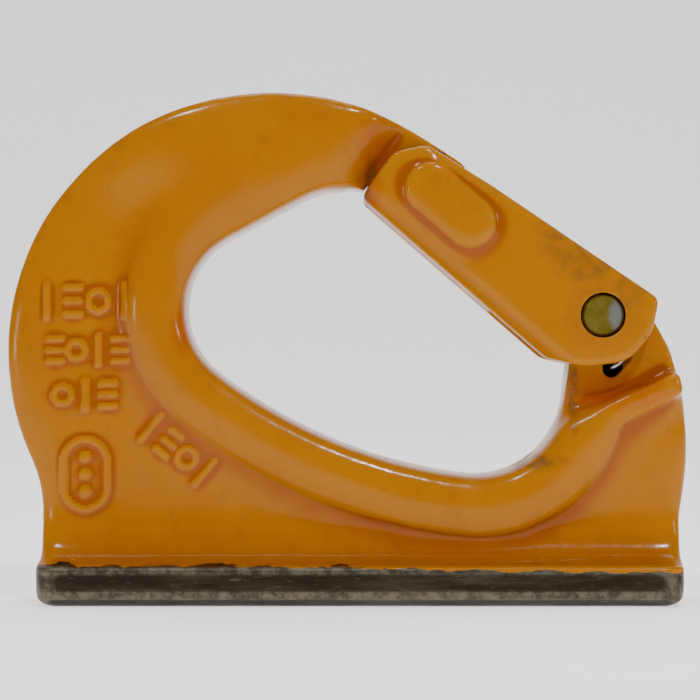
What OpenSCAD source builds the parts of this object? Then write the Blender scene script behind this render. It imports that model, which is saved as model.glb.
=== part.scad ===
// Weld-on lifting hook with a sprung safety latch.
// X runs along the weld foot, Y across the thickness, Z up. The origin is the centre of the weld face.

/* [Foot] */
// Length of the weld foot
foot_l = 165; // [160:1:180]
// Width of the weld foot
foot_w = 42; // [36:1:50]
// Height of the weld foot
foot_h = 10.5; // [8:0.5:12]
// Height of the weld bevel
bevel_h = 2.5; // [1:0.5:4]
// Depth of the weld bevel
bevel_d = 4.5; // [2:0.5:8]

/* [Hook] */
// Thickness of the rib round the throat
rib_t = 29; // [27:1:33]
// Thickness of the thin web
web_t = 20; // [18:1:24]
// Width of the rib, from the throat outwards
rib_w = 14; // [9:0.5:15]
// Thickness of the tongue that the latch closes round
tongue_t = 15; // [12:0.5:15.5]
// Thickness of the lug that carries the latch
lug_t = 15.8; // [14:0.2:16]
// Radius of the arched back of the hook
crown_r = 65.9; // [65:0.1:67]

/* [Latch] */
// Width over the two cheeks
latch_w = 29; // [28:0.5:31]
// Gap between the two cheeks
channel_w = 16.6; // [16.4:0.2:18]
// Thickness of the web that joins the cheeks
latch_web_t = 3.9; // [3:0.1:4]
// Height of the grip pad on each cheek
pad_h = 2; // [0.5:0.1:2.5]
// How far the latch is drawn open
open_angle = 0; // [0:1:56]

/* [Hinge] */
// Radius of the hinge pin
pin_r = 5.4; // [5:0.1:5.6]
// Radial running clearance of the latch on its pin
running_gap = 0.08; // [0.03:0.01:0.1]
// Diameter of the spring wire
wire_d = 1.5; // [1.2:0.1:1.5]
// Radius of the roll pin
roll_r = 1.5; // [1.2:0.1:1.6]

/* [Hidden] */
$fn = 96;
paint = "#d98a0a";
eps = 0.01;
past = 100;                             // well clear of every solid

// Hinge axis, and the latch's own frame: u runs towards its tip and w towards the throat
pivot = [62, 74];
latch_a = 139;                          // direction of u when the latch is shut
reach = 67.6;                           // hinge axis to the end of the latch
sweep_r = 69.6;                           // hinge axis to the shoulder behind the tongue
web_in = 13.4;                          // hinge axis to the inside of the latch's web
web_out = web_in + latch_web_t;
web_start = 22;                         // where the web begins, clear of the lug when open
cheek_low = 17.9;                       // hinge axis to the cheeks' lower edge
shoulder_l = 9;                         // length of the sloped shoulder behind the tongue
tongue_gap = 0.15;                      // the latch rests this close to the tongue

// Throat: three arcs, each tangent to the next
bowl_c = [-24.4, 75.5];
bowl_r = 21.3;
roof_a = 118;                           // where the bowl meets the straight roof
bed_a = 232.2;                          // where the bowl meets the bed
bed_r = 131.4;
toe_a = 263.1;                          // where the bed meets the toe
toe_r = 23.6;
bed_c = bowl_c - (bed_r - bowl_r) * ray(bed_a);
toe_c = bed_c + (bed_r - toe_r) * ray(toe_a);
roof_l = 23;                            // straight part of the roof
lip_r = 18;
lip_a = 67;                           // where the lip meets the shoulder
lip_c = bowl_c + (bowl_r - lip_r) * ray(roof_a) + roof_l * ray(roof_a - 90);

// Back of the hook
crown_c = [-24.9, 64.8];
neck_r = 73;
neck_a = 110;                            // where the crown meets the flatter neck
nose_a = 57;                          // where the neck meets the straight nose
neck_c = crown_c + (crown_r - neck_r) * ray(neck_a);
nose_l = 14;
heel_c = [12.5, 40];
heel_r = 72;
waist_l = -81.8;
waist_r = 82.2;
waist_fillet = 30;
waist_a = 204;                          // where the left waist runs into the crown

// Step between the full thickness and the lug
step_at = [57, 48.4];
step_a = 25;
band_w = 6;                             // raised band along the step

// Ramp from the web to the crown
ramp_at = [-62, 99];
ramp_a = 55;
ramp_l = 24;

// Hinge parts
head_r = pivot.x - (toe_c.x + toe_r);   // round head of the lug
coil_r = pin_r + wire_d / 2 + 0.5;
pocket_r = coil_r + wire_d / 2 + 0.6;
pocket_in = 2.9;                        // mid-plane to the floor of each spring pocket
wire_pitch = wire_d + 0.05;
leg_a = 101;                            // where the wire leaves the coil for the latch
coil_turns = 2 + leg_a / 360;
coil_out = 7.25;                        // mid-plane to the outer turn's centre
coil_in = coil_out - coil_turns * wire_pitch;
anchor = [64.8, 60.4];                  // hole that holds the bridge of the spring
anchor_r = 2.2;
pin_l = latch_w - 0.6;
roll_l = 11;
roll_a = 8;                             // direction of the roll pin from the hinge axis

function ray(a) = [cos(a), sin(a)];
function arc(c, r, a, b, n = 16) = [for (i = [0:n]) c + r * ray(a + (b - a) * i / n)];
function unit(v) = v / norm(v);
function latch_point(u, w) = pivot + u * ray(latch_a) + w * ray(latch_a + 90);

// Corner p of the path a-p-b, rounded with radius r
function corner(a, p, b, r, n = 6) =
    let (i = unit(a - p), o = unit(b - p), half = acos(i * o) / 2)
    let (c = p + unit(i + o) * r / sin(half), from = p + i * r / tan(half), to = p + o * r / tan(half))
    let (s = atan2(from.y - c.y, from.x - c.x), e = atan2(to.y - c.y, to.x - c.x))
    let (d = e - s > 180 ? e - s - 360 : e - s < -180 ? e - s + 360 : e - s)
    arc(c, r, s, s + d, n);

// Closed path of [x, y, radius] corners
function rounded(p) = [for (i = [0:len(p) - 1])
    let (a = p[(i + len(p) - 1) % len(p)], m = p[i], b = p[(i + 1) % len(p)])
    each m[2] == 0 ? [[m.x, m.y]] : corner([a.x, a.y], [m.x, m.y], [b.x, b.y], m[2])];

// The throat, grown outwards by g, from the shoulder to the lug
function throat(g = 0) = concat(
    arc(lip_c, lip_r + g, lip_a, roof_a),
    arc(bowl_c, bowl_r + g, roof_a, bed_a, 24),
    arc(bed_c, bed_r + g, bed_a, toe_a, 20),
    arc(toe_c, toe_r + g, toe_a, 360, 20));

function silhouette() =
    let (nose = neck_c + neck_r * ray(nose_a), along = ray(nose_a - 90))
    let (tip = nose + nose_l * along, tongue_w = web_in - tongue_gap)
    let (tip_in = latch_point(44.8, tongue_w), shoulder_u = sqrt(sweep_r * sweep_r - tongue_w * tongue_w))
    let (crown_foot = crown_c + crown_r * ray(waist_a), slope = (waist_l - crown_foot.x) / sin(waist_a))
    let (waist = [waist_l, crown_foot.y - slope * cos(waist_a)])
    concat(
        [[waist_l, 2]],
        corner([waist_l, 2], waist, crown_foot, waist_fillet),
        arc(crown_c, crown_r, waist_a, neck_a, 32),
        arc(neck_c, neck_r, neck_a, nose_a),
        corner(nose, tip, tip_in, 4),
        corner(tip, tip_in, latch_point(60, tongue_w), 5),
        [latch_point(shoulder_u, tongue_w)],
        throat(),
        arc(pivot, head_r, 180, 52),
        corner(pivot + head_r * ray(52), [72, 79.8], heel_c + heel_r * ray(21), 4),
        arc(heel_c, heel_r, 21, -14),
        [[waist_r, 2]]);

// A drawing in X and Z, given thickness from y0 to y1
module across(y0, y1) {
    translate([0, y1, 0])
        rotate([90, 0, 0])
            linear_extrude(y1 - y0)
                children();
}

module both_sides() {
    children();
    mirror([0, 1, 0]) children();
}

module at_pivot() {
    translate([pivot.x, 0, pivot.y])
        children();
}

// A cylinder along Y on the hinge axis
module hinge_bar(r, y0, y1) {
    at_pivot()
        across(y0, y1)
            circle(r);
}

// The latch's frame: X is u, Z is w
module latch_frame() {
    at_pivot()
        rotate([0, -latch_a - open_angle, 0])
            children();
}

// Half-plane on the lug's side of the step, moved away from it by d
module beyond_step(d = 0) {
    translate(step_at)
        rotate(step_a)
            translate([-past / 2 + 8, d])
                square([past, past]);
}

module thick_zone() {
    polygon(concat(throat(rib_w), [[40, 60], [20, 90]]));
    translate([-30, 98])
        square([60, 20]);
    difference() {
        beyond_step(-band_w);
        translate([-past, 0])
            square([past + 53, past * 2]);
    }
}

// Long ramp from the web up to the full thickness of the crown
module crown_ramp() {
    slope = (rib_t - web_t) / 2 / ramp_l;
    low = web_t / 2 - 4 * slope;
    high = low + 150 * slope;
    intersection() {
        translate([ramp_at.x, 0, ramp_at.y])
            rotate([0, -ramp_a, 0])
                linear_extrude(past * 2, center = true)
                    polygon([[-4, -low], [146, -high], [146, high], [-4, low]]);
        across(-past, past)
            translate([-past, 88])
                square([past * 2, past]);
    }
}

module foot() {
    intersection() {
        linear_extrude(foot_h)
            polygon(rounded([
                [-foot_l / 2, -foot_w / 2, 5], [foot_l / 2, -foot_w / 2, 5],
                [foot_l / 2, foot_w / 2, 5], [-foot_l / 2, foot_w / 2, 5]]));
        across(-foot_w, foot_w)
            polygon(rounded([
                [-foot_l / 2, 0, 4.5], [foot_l / 2, 0, 4.5],
                [foot_l / 2, foot_h, 0], [-foot_l / 2, foot_h, 0]]));
        rotate([90, 0, 90])
            linear_extrude(foot_l + 2, center = true)
                polygon([
                    [-foot_w / 2 + bevel_d, 0], [foot_w / 2 - bevel_d, 0],
                    [foot_w / 2, bevel_h], [foot_w / 2, foot_h],
                    [-foot_w / 2, foot_h], [-foot_w / 2, bevel_h]]);
    }
}

// Concave run from the web down to the foot
module flare() {
    flare_r = 9;
    run = [foot_w / 2 - 1.5, foot_h - eps];
    rotate([90, 0, 90])
        translate([0, 0, waist_l])
            linear_extrude(waist_r - waist_l)
                both_ways(concat(
                    [[0, run.y - 2], [run.x, run.y - 2], run],
                    arc([run.x, run.y + flare_r], flare_r, 270, 180, 10),
                    [[0, run.y + flare_r]]));
}

module both_ways(points) {
    polygon(points);
    mirror([1, 0])
        polygon(points);
}

module spring_pockets() {
    both_sides() {
        hinge_bar(pocket_r, pocket_in, lug_t);
        across(pocket_in, lug_t)
            translate(pivot - [15, pocket_r])
                square([15, 2 * pocket_r]);
        across(4.5, lug_t)
            translate(anchor)
                circle(anchor_r);
        across(coil_out - wire_d / 2 - 0.4, lug_t) {
            translate([pivot.x + coil_r, anchor.y + 3])
                translate([-1.4, 0])
                    square([2.8, 14]);
            translate([pivot.x + coil_r, anchor.y + 3])
                circle(1.4);
            polygon([
                anchor + anchor_r * ray(-55), [pivot.x + coil_r + 1, anchor.y + 2],
                [pivot.x + coil_r - 1, anchor.y + 4.4], anchor + anchor_r * ray(125)]);
        }
    }
    across(-lug_t, lug_t)
        translate(anchor)
            circle(wire_d / 2 + 0.1);
}

module roll_bore(r, from, to) {
    at_pivot()
        rotate([0, 90 - roll_a, 0])
            translate([0, 0, from])
                cylinder(r = r, h = to - from);
}

module hook_body() {
    color(paint)
        difference() {
            union() {
                across(-web_t / 2, web_t / 2)
                    polygon(silhouette());
                intersection() {
                    across(-rib_t / 2, rib_t / 2)
                        polygon(silhouette());
                    union() {
                        across(-rib_t, rib_t)
                            thick_zone();
                        crown_ramp();
                    }
                }
                foot();
                intersection() {
                    flare();
                    across(-foot_w, foot_w)
                        polygon(silhouette());
                }
            }
            both_sides() {
                // Room for the cheeks beside the tongue, behind a sloped shoulder
                intersection() {
                    at_pivot()
                        rotate([90, 0, 0])
                            rotate_extrude($fn = 180)
                                polygon([
                                    [0, tongue_t / 2], [sweep_r, tongue_t / 2],
                                    [sweep_r + shoulder_l, rib_t / 2 + 0.5], [sweep_r + shoulder_l, foot_w],
                                    [0, foot_w]]);
                    across(-past, past)
                        translate([-20, 94])
                            square([70, 50]);
                }
                // Room for the cheeks beside the lug
                across(lug_t / 2, foot_w)
                    intersection() {
                        beyond_step();
                        translate([45, 40])
                            square([60, 60]);
                    }
            }
            hinge_bar(pin_r, -foot_w, foot_w);
            spring_pockets();
            roll_bore(roll_r, 0, 30);
        }
}

function cheek() = rounded([
    [-8.2, -12.7, 2], [44, -6.4, 60], [62.6, -3.4, 3], [reach + 0.1, 3.4, 4], [reach - 0.2, 8, 20],
    [reach - 1.2, cheek_low, 2], [3.6, cheek_low, 4], [-5.4, 12.9, 12], [-12.8, 4.5, 8], [-12.6, -5, 8]]);

module pad_shape() {
    pad_r = 6.4;
    pad_l = 26;
    translate([47.8 - pad_l / 2 + pad_r, 4.4])
        circle(pad_r);
    translate([47.8 + pad_l / 2 - pad_r, 4.4])
        circle(pad_r);
    translate([47.8 - pad_l / 2 + pad_r, 4.4 - pad_r])
        square([pad_l - 2 * pad_r, 2 * pad_r]);
}

module latch() {
    chamfer = 3.2;
    color(paint)
        latch_frame()
            difference() {
                union() {
                    both_sides() {
                        across(channel_w / 2, latch_w / 2)
                            polygon(cheek());
                        across(latch_w / 2 - 1, latch_w / 2 + pad_h)
                            pad_shape();
                    }
                    across(-channel_w / 2 - 1, channel_w / 2 + 1)
                        intersection() {
                            polygon(cheek());
                            translate([web_start, web_in])
                                square([past, latch_web_t]);
                        }
                }
                both_sides() {
                    // Rounded-off lower edge of each cheek
                    translate([0, latch_w / 2, cheek_low])
                        rotate([45, 0, 0])
                            cube([past * 2, chamfer * sqrt(2), past], center = true);
                    // Groove that seats the spring leg
                    translate([0, coil_in - wire_d / 2 - 0.15, web_out - wire_d - 0.1])
                        cube([30.5, wire_d + 0.3, past]);
                }
                across(-past, past)
                    circle(pin_r + running_gap);
            }
}

module hinge_pin() {
    chamfer = 0.6;
    color("#a49a4a")
        difference() {
            at_pivot()
                rotate([90, 0, 0])
                    rotate_extrude()
                        polygon([
                            [0, -pin_l / 2], [pin_r - chamfer, -pin_l / 2], [pin_r, -pin_l / 2 + chamfer],
                            [pin_r, pin_l / 2 - chamfer], [pin_r - chamfer, pin_l / 2], [0, pin_l / 2]]);
            roll_bore(roll_r, -1, 30);
        }
}

module roll_pin() {
    wall = 0.6;
    slot = 0.5;
    from = -0.6;
    color("silver")
        difference() {
            roll_bore(roll_r, from, from + roll_l);
            roll_bore(roll_r - wall, from - 1, from + roll_l + 1);
            at_pivot()
                rotate([0, 90 - roll_a, 0])
                    translate([0, -slot / 2, from - 1])
                        cube([roll_r * 2, slot, roll_l + 2]);
        }
}

// Centre line of one half of the spring, from the mid-plane bridge to the tip of its leg
function half_spring() =
    let (steps = 72, a_end = coil_turns * 360, hook_u = web_start - 1.6, hook_w = web_out - wire_d / 2)
    let (bend = latch_point(hook_u, hook_w), tip = latch_point(29.5, hook_w))
    let (low = [pivot.x + coil_r, anchor.y + 3.2])
    concat(
        [[anchor.x, 0, anchor.y], [anchor.x, coil_out - 1.4, anchor.y]],
        [[anchor.x + 0.4, coil_out - 0.4, anchor.y + 0.2], [anchor.x + 1.4, coil_out, anchor.y + 0.8]],
        [[low.x - 0.7, coil_out, low.y - 0.9], [low.x - 0.1, coil_out, low.y]],
        [[low.x, coil_out, low.y + 1.5]],
        [for (i = [0:steps])
            let (a = a_end * i / steps, p = pivot + coil_r * ray(a))
            [p.x, coil_out - (coil_out - coil_in) * i / steps, p.y]],
        [[bend.x + 0.7, coil_in, bend.y + 0.3], [bend.x - 0.3, coil_in, bend.y + 0.25]],
        [[tip.x, coil_in, tip.y]]);

// A tube of radius r along the points p
module tube(p, r, sides = 8) {
    last = len(p) - 1;
    function along(i) = unit(p[min(i + 1, last)] - p[max(i - 1, 0)]);
    function lean(i) = unit(cross(along(i), [0, 1, 0]) + cross(along(i), [0.05, 0, 0.02]));
    rings = [for (i = [0:last])
        let (t = along(i), n = lean(i), b = cross(t, n))
        for (k = [0:sides - 1]) p[i] + r * (cos(360 * k / sides) * n + sin(360 * k / sides) * b)];
    polyhedron(rings, concat(
        [[for (k = [0:sides - 1]) k]],
        [for (i = [0:last - 1], k = [0:sides - 1])
            let (m = (k + 1) % sides)
            [i * sides + k, (i + 1) * sides + k, (i + 1) * sides + m, i * sides + m]],
        [[for (k = [sides - 1:-1:0]) last * sides + k]]));
}

module latch_spring() {
    half = half_spring();
    other = [for (i = [len(half) - 1:-1:1]) [half[i].x, -half[i].y, half[i].z]];
    color("silver")
        tube(concat(other, half), wire_d / 2);
}

hook_body();
latch();
hinge_pin();
roll_pin();
latch_spring();
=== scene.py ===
import math

import bpy
import numpy as np
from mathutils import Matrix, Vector, noise


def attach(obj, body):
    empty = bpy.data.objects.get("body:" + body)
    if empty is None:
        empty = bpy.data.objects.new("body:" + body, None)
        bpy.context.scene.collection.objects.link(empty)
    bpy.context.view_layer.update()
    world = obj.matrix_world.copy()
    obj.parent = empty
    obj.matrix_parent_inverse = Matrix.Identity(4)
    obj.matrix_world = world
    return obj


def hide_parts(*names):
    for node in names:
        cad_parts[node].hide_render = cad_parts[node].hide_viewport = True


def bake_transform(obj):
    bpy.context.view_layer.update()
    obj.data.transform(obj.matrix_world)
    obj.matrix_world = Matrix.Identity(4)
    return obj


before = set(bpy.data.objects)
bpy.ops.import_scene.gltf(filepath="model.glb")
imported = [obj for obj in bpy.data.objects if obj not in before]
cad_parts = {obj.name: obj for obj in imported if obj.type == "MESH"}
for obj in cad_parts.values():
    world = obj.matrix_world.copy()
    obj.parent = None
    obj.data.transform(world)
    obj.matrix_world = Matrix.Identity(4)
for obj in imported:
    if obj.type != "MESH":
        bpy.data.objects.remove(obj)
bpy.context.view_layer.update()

MM = 0.001

# places on the XZ plane, in metres
PIN = np.array([0.062, 0.0, 0.074])  # hinge axis, along Y
BOWL = (-0.0244, 0.0755)  # centre of the round end of the eye
EYE = (0.004, 0.068)  # middle of the eye
ANCHOR = (0.0648, 0.0604)  # hole for the bridge of the spring
LATCH_ANGLE = math.radians(139)  # from the pin to the tip of the shut latch
LATCH = (math.cos(LATCH_ANGLE), math.sin(LATCH_ANGLE))
MARK_X = -0.0705  # middle of the capsule mark
MARK_Z = (0.0300, 0.0365)  # ends of the capsule's straight part

# sizes, in metres
HOOK_VOXEL = 0.78 * MM
LATCH_VOXEL = 0.5 * MM
HOOK_BORE = 5.3 * MM  # skins close in on the pin, so no light shows round it
LATCH_BORE = 5.75 * MM
MARK_RISE = 0.45 * MM
DRAFT = 1.1 * MM  # how full the wall of the eye is on the middle plane
WIRE_R = 0.74  # spring wire, in millimetres like its path


# ---------------------------------------------------------------- forged skins
def smoothstep(a, b, x):
    t = np.clip((x - a) / (b - a), 0.0, 1.0)
    return t * t * (3.0 - 2.0 * t)


def shown(node):
    """The object that holds a CAD node."""
    return bpy.data.objects["cad_" + node] if "cad_" + node in bpy.data.objects else bpy.data.objects[node]


def node_copy(node, name, voxel):
    """A remeshed copy of a CAD node, with even small faces."""
    obj = bpy.data.objects.new(name, shown(node).data.copy())
    bpy.context.scene.collection.objects.link(obj)
    mod = obj.modifiers.new("grid", "REMESH")
    mod.mode = "VOXEL"
    mod.voxel_size = voxel
    dg = bpy.context.evaluated_depsgraph_get()
    mesh = bpy.data.meshes.new_from_object(obj.evaluated_get(dg))
    obj.modifiers.clear()
    obj.data = mesh
    return obj


def points_of(obj):
    co = np.empty(len(obj.data.vertices) * 3)
    obj.data.vertices.foreach_get("co", co)
    return co.reshape(-1, 3)


def normals_of(obj):
    normals = np.empty(len(obj.data.vertices) * 3)
    obj.data.vertices.foreach_get("normal", normals)
    return normals.reshape(-1, 3)


def edges_of(obj):
    e = np.empty(len(obj.data.edges) * 2, np.int64)
    obj.data.edges.foreach_get("vertices", e)
    return e.reshape(-1, 2)


def relax(co, edges, rate, rounds):
    """Rounds edges off. rate is each point's share, from 0 to 1."""
    n = len(co)
    count = np.bincount(edges.ravel(), minlength=n)[:, None]
    k = (0.5 * rate)[:, None]
    for _ in range(rounds):
        total = np.empty_like(co)
        for axis in range(co.shape[1]):
            total[:, axis] = np.bincount(edges[:, 0], co[edges[:, 1], axis], n)
            total[:, axis] += np.bincount(edges[:, 1], co[edges[:, 0], axis], n)
        co = co + k * (total / np.maximum(count, 1) - co)
    return co


def set_points(obj, co):
    obj.data.vertices.foreach_set("co", co.ravel())
    obj.data.update()
    obj.data.polygons.foreach_set("use_smooth", [True] * len(obj.data.polygons))


def store_edge(obj, rounds, full):
    """Attribute "edge": above 0 on edges, below 0 in corners, 1 where the skin stands out by full."""
    co = points_of(obj)
    soft = relax(co, edges_of(obj), np.ones(len(co)), rounds)
    values = np.clip(np.einsum("ij,ij->i", co - soft, normals_of(obj)) / full, -1, 1)
    attribute = obj.data.attributes.new("edge", "FLOAT", "POINT")
    attribute.data.foreach_set("value", values.astype(np.float32))


def fit_bore(co, reach, radius):
    """Brings the points within reach of the hinge axis to one radius."""
    r = np.hypot(co[:, 0] - PIN[0], co[:, 2] - PIN[2])
    scale = np.where((r < reach) & (r > 3 * MM), radius / np.maximum(r, 1e-6), 1.0)
    co[:, 0] = PIN[0] + (co[:, 0] - PIN[0]) * scale
    co[:, 2] = PIN[2] + (co[:, 2] - PIN[2]) * scale


def segment_distance(x, z, a, b):
    d = np.array(b) - np.array(a)
    t = np.clip(((x - a[0]) * d[0] + (z - a[1]) * d[1]) / (d @ d), 0, 1)
    return np.hypot(x - a[0] - t * d[0], z - a[1] - t * d[1])


def strokes():
    """Plain raised bars, dashes and rings in three level rows and a slanted one, in millimetres."""
    bars, rings = [], []
    # start X, start Z, number of marks, pitch, height, slant in degrees
    rows = (
        (-81.5, 73.5, 4, 6.6, 8.4, 0.0),
        (-79.5, 61.5, 4, 5.6, 7.2, 0.0),
        (-77.5, 50.0, 3, 5.8, 7.2, 0.0),
        (-57.0, 43.0, 4, 6.0, 7.6, -40.0),
    )
    for r, (x0, z0, count, pitch, tall, lean) in enumerate(rows):
        c, s = math.cos(math.radians(lean)), math.sin(math.radians(lean))

        def at(u, v):
            return (x0 + u * c - v * s, z0 + u * s + v * c)

        for i in range(count):
            u, kind = i * pitch, (i + r) % 3
            if kind == 0:
                bars.append((at(u + 1.2, 0), at(u + 1.2, tall)))
            elif kind == 1:
                for part in (0.1, 0.5, 0.9):
                    bars.append((at(u - 0.3, tall * part), at(u + 2.9, tall * part)))
            else:
                rings.append((at(u + 1.2, tall / 2), tall * 0.30))
    return bars, rings


def mark_mask(x, y, z):
    """1 on the raised marks on the front of the web and 0 off them."""
    near = np.full(len(x), 1.0)
    bars, rings = strokes()
    for a, b in bars:
        near = np.minimum(near, segment_distance(x, z, np.array(a) * MM, np.array(b) * MM))
    for (cx, cz), r in rings:
        near = np.minimum(near, np.abs(np.hypot(x - cx * MM, z - cz * MM) - r * MM))
    capsule = segment_distance(x, z, (MARK_X, MARK_Z[0]), (MARK_X, MARK_Z[1]))
    near = np.minimum(near, np.abs(capsule - 5.6 * MM))
    for dot in (0.0288, 0.03325, 0.0377):
        near = np.minimum(near, np.maximum(np.hypot(x - MARK_X, z - dot) - 0.6 * MM, 0))
    front = (y < -0.006) & (x < -0.03)
    return np.where(front, smoothstep(1.25 * MM, 0.2 * MM, near), 0.0)


def hook():
    obj = node_copy("hook_body", "hook_forging", HOOK_VOXEL)
    co = points_of(obj)
    edges = edges_of(obj)
    # edges are rounded most round the eye and least on the foot, the lug and the tongue
    x, y, z = co.T
    bowl = np.hypot(x - BOWL[0], z - BOWL[1])
    pin = np.hypot(x - PIN[0], z - PIN[2])
    foot = 1.0 - smoothstep(0.009, 0.014, z)
    lug = smoothstep(0.026, 0.019, pin)
    tongue = smoothstep(0.076, 0.070, pin) * smoothstep(0.09, 0.1, z)
    throat = smoothstep(0.046, 0.03, bowl)
    bed = smoothstep(0.055, 0.045, z) * smoothstep(0.02, 0.028, z) * smoothstep(-0.05, -0.03, x)
    big = np.clip(throat + bed, 0, 1) * (1 - foot) * (1 - lug)
    rate = (0.32 + 0.68 * big) * (1 - 0.9 * foot) * (1 - 0.8 * lug) * (1 - 0.75 * tongue)
    co = relax(co, edges, rate, 52)
    # the rib melts into the web
    x, y, z = co.T
    face = smoothstep(0.0065, 0.0085, np.abs(y)) * smoothstep(0.0115, 0.0155, z) * (1 - lug) * (1 - tongue)
    crown = smoothstep(0.078, 0.09, z) * smoothstep(-0.02, -0.032, x)
    for part, rounds in ((face * (0.4 + 0.6 * smoothstep(0.05, 0.03, x)), 86), (face * crown, 104)):
        co[:, 1] = relax(co[:, 1:2], edges, part, rounds)[:, 0]
    # the die's draft leaves the wall of the eye fullest on the middle plane
    set_points(obj, co)
    nx, ny, nz = normals_of(obj).T
    to_x, to_z = EYE[0] - co[:, 0], EYE[1] - co[:, 2]
    reach = np.hypot(to_x, to_z)
    towards = np.clip((nx * to_x + nz * to_z) / np.maximum(reach, 1e-6), 0, 1)
    near_eye = smoothstep(0.072, 0.066, reach) * smoothstep(0.027, 0.031, co[:, 2])
    full = smoothstep(0.1, 0.6, towards) * near_eye * (1 - tongue) * smoothstep(0.014, 0.022, pin)
    full = full * DRAFT * np.clip(1 - (co[:, 1] / 0.0145) ** 2, 0, 1)
    co[:, 0] += nx * full
    co[:, 2] += nz * full
    fit_bore(co, 5.85 * MM, HOOK_BORE)
    # raised marks, then the uneven skin of a forging
    co[:, 1] -= MARK_RISE * mark_mask(*co.T)
    skin = np.array([
        noise.noise(Vector(p) * 55.0) * 0.08 + noise.noise(Vector(p) * 170.0) * 0.03 for p in co
    ])
    set_points(obj, co)
    hold = smoothstep(0.006, 0.009, pin) * smoothstep(0.0002, 0.002, z)
    co = co + normals_of(obj) * (skin * MM * hold - 0.08 * MM * hold)[:, None]
    co[:, 2] = np.maximum(co[:, 2], 0.0)
    set_points(obj, co)
    store_edge(obj, 9, 0.25 * MM)
    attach(obj, "hook")
    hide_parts("hook_body")
    return obj


def latch():
    obj = node_copy("latch", "latch_pressing", LATCH_VOXEL)
    co = points_of(obj)
    edges = edges_of(obj)
    pin = np.hypot(co[:, 0] - PIN[0], co[:, 2] - PIN[2])
    rate = smoothstep(0.0062, 0.0078, pin) * (0.55 + 0.45 * smoothstep(0.010, 0.0125, np.abs(co[:, 1])))
    co = relax(co, edges, rate, 22)
    # the pad on each cheek swells softly out of it; u runs along the latch and w across it
    u = (co[:, 0] - PIN[0]) * LATCH[0] + (co[:, 2] - PIN[2]) * LATCH[1]
    w = -(co[:, 0] - PIN[0]) * LATCH[1] + (co[:, 2] - PIN[2]) * LATCH[0]
    pad = smoothstep(0.0135, 0.0095, np.hypot(np.maximum(np.abs(u - 0.0478) - 0.0065, 0), w - 0.0044))
    pad = pad * smoothstep(0.0105, 0.0125, np.abs(co[:, 1]))
    co[:, 1] = relax(co[:, 1:2], edges, pad, 34)[:, 0]
    fit_bore(co, 6.0 * MM, LATCH_BORE)
    set_points(obj, co)
    store_edge(obj, 10, 0.10 * MM)
    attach(obj, "safety_latch")
    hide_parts("latch")
    return obj


# ---------------------------------------------------------------- materials
YELLOW = (0.395, 0.137, 0.0, 1)
DEEP = (0.365, 0.120, 0.0, 1)
# painted highlight colour for convex edges
PALE_EDGE_HIGHLIGHT = (0.46, 0.175, 0.0, 1)
# amber for random speckles, also the painted shade in corners
AMBER_AND_CORNER_SHADE = (0.27, 0.057, 0.0, 1)
# painted shade colour, a darker orange for where shade falls
SHADE_ORANGE = (0.36, 0.05, 0.0, 1)
DIRT = (0.11, 0.045, 0.012, 1)
CHIPPED = (0.055, 0.040, 0.028, 1)
# painted shade inside the spring's hole
HOLE_SHADE = (0.006, 0.004, 0.003, 1)
STEEL = (0.021, 0.017, 0.010, 1)
SCALE = (0.052, 0.043, 0.028, 1)
DUST = (0.10, 0.086, 0.060, 1)
RUBBED = (0.14, 0.122, 0.090, 1)
PAINT_IOR = 1.27


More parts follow.
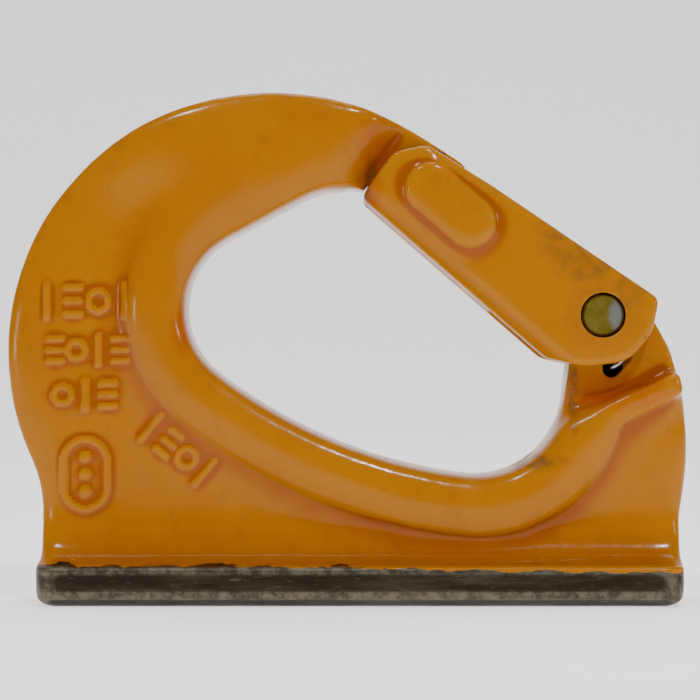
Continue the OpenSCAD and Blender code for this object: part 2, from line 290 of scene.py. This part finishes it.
class Graph:
    """Short names for the shader nodes of one material."""

    def __init__(self, name):
        self.material = bpy.data.materials.new(name)
        self.material.use_nodes = True
        self.nodes = self.material.node_tree.nodes
        self.links = self.material.node_tree.links
        self.shader = self.nodes["Principled BSDF"]
        self.space = self.add("ShaderNodeTexCoord").outputs["Object"]

    def add(self, kind, **values):
        made = self.nodes.new(kind)
        for key, value in values.items():
            setattr(made, key, value)
        return made

    def plug(self, socket, value):
        if isinstance(value, (int, float, tuple)):
            socket.default_value = value
        else:
            self.links.new(value, socket)

    def noise(self, scale, detail=4.0, rough=0.55, stretch=None):
        made = self.add("ShaderNodeTexNoise")
        made.inputs["Scale"].default_value = scale
        made.inputs["Detail"].default_value = detail
        made.inputs["Roughness"].default_value = rough
        if stretch:
            mapping = self.add("ShaderNodeMapping")
            mapping.inputs["Scale"].default_value = stretch
            self.links.new(self.space, mapping.inputs["Vector"])
            self.links.new(mapping.outputs["Vector"], made.inputs["Vector"])
        else:
            self.links.new(self.space, made.inputs["Vector"])
        return made.outputs["Fac"]

    def ramp(self, value, low, high, a=0.0, b=1.0):
        made = self.add("ShaderNodeMapRange", interpolation_type="SMOOTHSTEP")
        self.plug(made.inputs["Value"], value)
        for key, v in (("From Min", low), ("From Max", high), ("To Min", a), ("To Max", b)):
            made.inputs[key].default_value = v
        return made.outputs["Result"]

    def math(self, kind, a, b=0.0):
        made = self.add("ShaderNodeMath", operation=kind)
        self.plug(made.inputs[0], a)
        self.plug(made.inputs[1], b)
        return made.outputs[0]

    def mix(self, fac, a, b):
        made = self.add("ShaderNodeMix", data_type="RGBA")
        self.plug(made.inputs[0], fac)
        self.plug(made.inputs[6], a)
        self.plug(made.inputs[7], b)
        return made.outputs[2]

    def blendf(self, fac, a, b):
        made = self.add("ShaderNodeMix", data_type="FLOAT")
        self.plug(made.inputs[0], fac)
        self.plug(made.inputs[2], a)
        self.plug(made.inputs[3], b)
        return made.outputs[0]

    def axis(self, name):
        made = self.add("ShaderNodeSeparateXYZ")
        self.links.new(self.space, made.inputs[0])
        return made.outputs[name]

    def attribute(self, name):
        return self.add("ShaderNodeAttribute", attribute_name=name).outputs["Fac"]

    def bump(self, height, distance, strength):
        made = self.add("ShaderNodeBump")
        made.inputs["Strength"].default_value = strength
        made.inputs["Distance"].default_value = distance
        self.plug(made.inputs["Height"], height)
        self.links.new(made.outputs["Normal"], self.shader.inputs["Normal"])

    def finish(self, color, rough, metal):
        self.plug(self.shader.inputs["Base Color"], color)
        self.plug(self.shader.inputs["Roughness"], rough)
        self.plug(self.shader.inputs["Metallic"], metal)
        return self.material


def spot(g, x, z, rx, rz):
    """1 inside an ellipse on the XZ plane and 0 outside it, with a soft ragged rim."""
    dx = g.math("DIVIDE", g.math("SUBTRACT", g.axis("X"), x), rx)
    dz = g.math("DIVIDE", g.math("SUBTRACT", g.axis("Z"), z), rz)
    r = g.math("SQRT", g.math("ADD", g.math("MULTIPLY", dx, dx), g.math("MULTIPLY", dz, dz)))
    ragged = g.math("ADD", r, g.math("MULTIPLY", g.math("SUBTRACT", g.noise(420.0, 5.0), 0.5), 1.1))
    return g.ramp(ragged, 1.5, 0.5)


def paint(name, dirt_spots, painted_shade_spots, foot=False):
    """Glossy paint. Spots are ellipses on the XZ plane: X, Z and two radii, then a dirt spot's strength.
    The darker orange spots are painted shade.
    """
    g = Graph(name)
    edge = g.attribute("edge")
    cloud = g.noise(38.0, 3.0)
    color = g.mix(g.ramp(cloud, 0.35, 0.7), YELLOW, DEEP)
    color = g.mix(g.ramp(g.noise(900.0, 2.0), 0.62, 0.75, 0.0, 0.16), color, AMBER_AND_CORNER_SHADE)
    # painted shade makes the paint darker in corners, and a painted highlight makes it paler over edges
    color = g.mix(g.ramp(edge, -0.02, -0.30, 0.0, 0.9), color, AMBER_AND_CORNER_SHADE)
    color = g.mix(g.ramp(edge, 0.1, 0.8, 0.0, 0.3), color, PALE_EDGE_HIGHLIGHT)
    # painted shade: darker orange ellipses where shade falls
    for s in painted_shade_spots:
        color = g.mix(g.math("MULTIPLY", spot(g, *s), 0.55), color, SHADE_ORANGE)
    grime = g.math("MULTIPLY", g.ramp(g.noise(150.0, 6.0, 0.7), 0.55, 0.72), 0.22)
    for s in dirt_spots:
        speckle = g.ramp(g.noise(330.0, 6.0, 0.7), 0.36, 0.66, 0.1, s[4])
        grime = g.math("MAXIMUM", grime, g.math("MULTIPLY", spot(g, *s[:4]), speckle))
    chips = g.math("MULTIPLY", g.ramp(edge, 0.6, 1.0), g.ramp(g.noise(520.0, 5.0, 0.7), 0.62, 0.67))
    color = g.mix(grime, color, DIRT)
    color = g.mix(chips, color, CHIPPED)
    rough = g.blendf(grime, g.ramp(g.noise(60.0, 3.0), 0.3, 0.7, 0.13, 0.20), 0.55)
    rough = g.blendf(chips, rough, 0.45)
    metal = g.math("MULTIPLY", chips, 0.8)
    orange_peel = g.math("MULTIPLY", g.noise(260.0, 2.0), 0.75)
    height = g.math("ADD", orange_peel, g.math("MULTIPLY", g.noise(1300.0, 2.0), 0.10))
    height = g.math("SUBTRACT", height, g.math("MULTIPLY", chips, 0.7))
    if foot:
        # painted shade: the inside of the spring's hole is coloured near black
        dx = g.math("SUBTRACT", g.axis("X"), ANCHOR[0])
        dz = g.math("SUBTRACT", g.axis("Z"), ANCHOR[1])
        r = g.math("SQRT", g.math("ADD", g.math("MULTIPLY", dx, dx), g.math("MULTIPLY", dz, dz)))
        deep = g.ramp(g.math("ABSOLUTE", g.axis("Y")), 0.0076, 0.0070)
        color = g.mix(g.math("MULTIPLY", g.ramp(r, 0.0032, 0.0028), deep), color, HOLE_SHADE)
        # the paint stops in a ragged line with small drips just above the weld foot
        line = g.math("ADD", g.axis("Z"), g.math("MULTIPLY", g.axis("X"), 0.012))
        sag = g.noise(70.0, 3.0, 0.6, (1, 1, 0.25))
        drips = g.math("MULTIPLY", g.math("SUBTRACT", sag, 0.5), 0.0042)
        fine = g.math("MULTIPLY", g.math("SUBTRACT", g.noise(420.0, 4.0), 0.5), 0.0011)
        bare = g.ramp(g.math("ADD", g.math("ADD", line, drips), fine), 0.0101, 0.0098)
        streak = g.noise(120.0, 6.0, 0.7, (0.25, 1, 2.2))
        steel = g.mix(g.ramp(streak, 0.42, 0.7), STEEL, SCALE)
        dust = g.noise(700.0, 4.0, 0.7, (0.3, 1, 1.6))
        steel = g.mix(g.ramp(dust, 0.58, 0.72, 0.0, 0.6), steel, DUST)
        worn = g.ramp(g.noise(240.0, 5.0, 0.7), 0.4, 0.6, 0.25, 0.9)
        steel = g.mix(g.math("MULTIPLY", g.ramp(edge, 0.08, 0.5), worn), steel, RUBBED)
        color = g.mix(bare, color, steel)
        rough = g.blendf(bare, rough, g.ramp(streak, 0.3, 0.7, 0.5, 0.36))
        metal = g.blendf(bare, metal, 0.75)
        pits = g.math("MULTIPLY", g.noise(600.0, 5.0, 0.7), 1.1)
        height = g.math("ADD", height, g.math("MULTIPLY", bare, pits))
        height = g.math("SUBTRACT", height, g.math("MULTIPLY", bare, 1.4))
    g.shader.inputs["IOR"].default_value = PAINT_IOR
    g.bump(height, 0.00016, 0.55)
    return g.finish(color, rough, metal)


def plated():
    """Yellow zinc plate, worn to bare steel on one side of the pin's end."""
    g = Graph("yellow_zinc_plate")
    iris = g.noise(140.0, 4.0, 0.6)
    color = g.mix(g.ramp(iris, 0.35, 0.65), (0.150, 0.108, 0.006, 1), (0.20, 0.15, 0.02, 1))
    wear = spot(g, PIN[0] + 0.0032, PIN[2] + 0.0002, 0.0017, 0.0032)
    color = g.mix(g.math("MULTIPLY", wear, 0.7), color, (0.22, 0.25, 0.28, 1))
    color = g.mix(g.ramp(g.noise(900.0, 5.0, 0.7), 0.6, 0.72, 0.0, 0.6), color, (0.05, 0.035, 0.012, 1))
    g.bump(g.noise(700.0, 5.0, 0.65), 0.00010, 0.5)
    return g.finish(color, g.ramp(iris, 0.3, 0.7, 0.30, 0.45), 0.85)


def bright_wire():
    g = Graph("bright_spring_steel")
    streak = g.noise(500.0, 5.0, 0.7)
    color = g.mix(g.ramp(streak, 0.4, 0.65), (0.42, 0.41, 0.40, 1), (0.20, 0.19, 0.18, 1))
    color = g.mix(g.ramp(g.noise(1500.0, 3.0), 0.62, 0.74, 0.0, 0.5), color, (0.10, 0.06, 0.03, 1))
    g.bump(g.noise(1200.0, 4.0), 0.00006, 0.5)
    return g.finish(color, g.ramp(streak, 0.3, 0.7, 0.22, 0.38), 1.0)


def tube(name, path, radius, material, sides=14):
    """A round wire along a path of points in millimetres."""
    path = np.array(path, float) * MM
    count = len(path)
    ahead = np.gradient(path, axis=0)
    ahead /= np.linalg.norm(ahead, axis=1)[:, None]
    up = np.cross(ahead[0], (0.31, 0.2, 0.93))
    rings = []
    for p, t in zip(path, ahead):
        up = up - t * (up @ t)
        up /= np.linalg.norm(up)
        other = np.cross(t, up)
        for k in range(sides):
            a = 2 * math.pi * k / sides
            rings.append(p + radius * MM * (math.cos(a) * up + math.sin(a) * other))
    faces = []
    for i in range(count - 1):
        for k in range(sides):
            m = (k + 1) % sides
            faces.append((i * sides + k, i * sides + m, (i + 1) * sides + m, (i + 1) * sides + k))
    faces.append(tuple(range(sides - 1, -1, -1)))
    faces.append(tuple((count - 1) * sides + k for k in range(sides)))
    mesh = bpy.data.meshes.new(name)
    mesh.from_pydata([tuple(v) for v in rings], [], faces)
    mesh.polygons.foreach_set("use_smooth", [len(f) == 4 for f in faces])
    obj = bpy.data.objects.new(name, mesh)
    bpy.context.scene.collection.objects.link(obj)
    mesh.materials.append(material)
    return obj


def bend_round(path, radius, steps=5):
    """Rounds the corners of a path."""
    path = [np.array(p, float) for p in path]
    out = [path[0]]
    for a, p, b in zip(path, path[1:], path[2:]):
        r = min(radius, np.linalg.norm(a - p) * 0.45, np.linalg.norm(b - p) * 0.45)
        s, e = p + (a - p) / np.linalg.norm(a - p) * r, p + (b - p) / np.linalg.norm(b - p) * r
        for i in range(steps + 1):
            t = i / steps
            out.append((1 - t) ** 2 * s + 2 * t * (1 - t) * p + t * t * e)
    out.append(path[-1])
    return out


def spring(material):
    """Bridge and risers stay with the hook. Each coil winds up between the hook and the latch."""
    # in millimetres: coil radius on the wire's centre, and Y where each coil starts and ends
    coil_r, y_out, y_in, turns = 6.65, 7.25, 3.71, 2 + 101 / 360
    ax, az = 64.8, 60.4
    px, pz = PIN[0] / MM, PIN[2] / MM
    low = (px + coil_r, az + 3.2)
    riser = [(ax, 0, az), (ax, y_out - 1.0, az), (ax + 1.4, y_out, az + 0.8), (low[0], y_out, low[1]),
             (px + coil_r, y_out, pz - 0.6), (px + coil_r, y_out, pz + 0.1)]
    half = bend_round(riser, 2.0)
    bridge = [np.array((p[0], -p[1], p[2])) for p in reversed(half[1:])] + half
    made = [tube("spring_bridge", bridge, WIRE_R, material)]
    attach(made[0], "hook")
    u, w = math.radians(139), math.radians(229)

    def at(along, across):
        x = px + along * math.cos(u) + across * math.cos(w)
        return (x, pz + along * math.sin(u) + across * math.sin(w))

    for side, name in ((-1, "spring_coil_front"), (1, "spring_coil_back")):
        path = []
        steps = 110
        for i in range(steps + 1):
            a = math.radians(turns * 360 * i / steps)
            y = y_out + (y_in - y_out) * i / steps
            path.append((px + coil_r * math.cos(a), y, pz + coil_r * math.sin(a)))
        bend, tip = at(20.4, 14.45), at(29.5, 14.45)
        leg = bend_round([path[-1], (bend[0], y_in, bend[1]), (tip[0], y_in, tip[1])], 2.5)
        path = [(p[0], side * p[1], p[2]) for p in path + [tuple(q) for q in leg[1:]]]
        coil = tube(name, path, WIRE_R, material)
        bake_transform(coil)
        made.append(coil)
    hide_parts("latch_spring")
    return made


def coat(obj, material):
    """Gives one of the skins its material."""
    obj.data.materials.clear()
    obj.data.materials.append(material)
    for p in obj.data.polygons:
        p.material_index = 0


def dress(node, material):
    """Gives a CAD node a material and leaves its mesh alone."""
    obj = shown(node)
    if not obj.data.materials:
        obj.data.materials.append(None)
    for s in obj.material_slots:
        s.link = "OBJECT"
        s.material = material


# ---------------------------------------------------------------- build
coat(hook(), paint(
    "yellow_paint_and_bare_foot",
    dirt_spots=(
        (0.040, 0.0365, 0.011, 0.0020, 0.9),
        (0.0548, 0.056, 0.0012, 0.012, 0.85),
        (0.003, 0.1095, 0.0015, 0.005, 0.8),
    ),
    # painted shade on the eye's inner left edge, on the slope by the spring's hole and on the shoulder by
    # the tongue
    painted_shade_spots=(
        (-0.0452, 0.0702, 0.0026, 0.0052),
        (0.066, 0.055, 0.012, 0.005),
        (0.005, 0.112, 0.006, 0.012),
    ),
    foot=True,
))
coat(latch(), paint(
    "yellow_paint_latch",
    dirt_spots=(
        (0.058, 0.088, 0.008, 0.0055, 0.62),
        (0.049, 0.094, 0.004, 0.006, 0.6),
        (0.068, 0.080, 0.005, 0.0045, 0.6),
        (0.062, 0.0742, 0.0085, 0.0085, 0.35),
        (0.0015, 0.1050, 0.0012, 0.003, 0.8),
    ),
    # painted shade in the slit at the latch tip
    painted_shade_spots=((0.003, 0.106, 0.0025, 0.006),),
))
dress("hinge_pin", plated())
wire = bright_wire()
dress("roll_pin", wire)
spring(wire)

# ---------------------------------------------------------------- stage
def pale_sweep(front, bend, bend_r, top, half_width):
    """A floor that curves up into a backdrop behind the part."""
    profile = [(front, 0.0), (bend, 0.0)]
    for i in range(1, 25):
        a = math.radians(90 * i / 24)
        profile.append((bend + bend_r * math.sin(a), bend_r - bend_r * math.cos(a)))
    profile.append((bend + bend_r, top))
    verts = [(x, y, z) for y, z in profile for x in (-half_width, half_width)]
    faces = [(2 * i, 2 * i + 1, 2 * i + 3, 2 * i + 2) for i in range(len(profile) - 1)]
    mesh = bpy.data.meshes.new("pale_sweep")
    mesh.from_pydata(verts, [], faces)
    mesh.polygons.foreach_set("use_smooth", [True] * len(faces))
    obj = bpy.data.objects.new("pale_sweep", mesh)
    bpy.context.scene.collection.objects.link(obj)
    return obj


def pale_floor():
    """Matt and pale, with a glow that fades out towards the camera so the paint keeps its depth."""
    g = Graph("pale_floor")
    g.shader.inputs["Base Color"].default_value = (0.9, 0.9, 0.9, 1)
    g.shader.inputs["Roughness"].default_value = 1.0
    g.shader.inputs["Specular IOR Level"].default_value = 0.0
    g.shader.inputs["Emission Color"].default_value = (1, 1, 1, 1)
    glow = g.add("ShaderNodeMapRange")
    glow.inputs["From Min"].default_value = -0.55
    glow.inputs["From Max"].default_value = -0.15
    glow.inputs["To Max"].default_value = 0.85
    g.plug(glow.inputs["Value"], g.axis("Y"))
    g.plug(g.shader.inputs["Emission Strength"], glow.outputs["Result"])
    return g.material


sweep = pale_sweep(front=-6.0, bend=1.2, bend_r=1.4, top=5.0, half_width=6.0)
sweep.data.materials.append(pale_floor())

world = bpy.data.worlds.new("studio")
bpy.context.scene.world = world
world.use_nodes = True
world.node_tree.nodes["Background"].inputs["Color"].default_value = (1, 1, 1, 1)
world.node_tree.nodes["Background"].inputs["Strength"].default_value = 0.10


def lamp(name, at, aim, size, power):
    data = bpy.data.lights.new(name, "AREA")
    data.shape = "DISK"
    data.size = size
    data.energy = power
    obj = bpy.data.objects.new(name, data)
    obj.location = at
    obj.rotation_euler = (Vector(aim) - Vector(at)).to_track_quat("-Z", "Y").to_euler()
    bpy.context.scene.collection.objects.link(obj)


mid = (0, 0, 0.066)
lamp("key", (-0.50, -0.80, 1.25), mid, 0.16, 6.2)
lamp("fill", (1.15, -0.80, 0.35), mid, 0.22, 2.6)
lamp("low", (-0.95, -0.85, 0.10), mid, 0.18, 1.5)
lamp("overhead", (0.0, 0.35, 1.7), (0, 0.2, 0), 1.0, 14.0)
lamp("glint", (0.28, -0.60, 0.85), mid, 0.025, 4.6)

camera = bpy.data.objects.new("camera", bpy.data.cameras.new("camera"))
bpy.context.scene.collection.objects.link(camera)
bpy.context.scene.camera = camera
distance = 0.66
view_width = 0.18235  # on the part's middle plane
camera.data.sensor_width = 36.0
camera.data.lens = camera.data.sensor_width * distance / view_width
camera.location = (-0.00254, -distance, 0.0651)
camera.rotation_euler = (math.radians(90), 0, 0)
camera.data.clip_start = 0.01
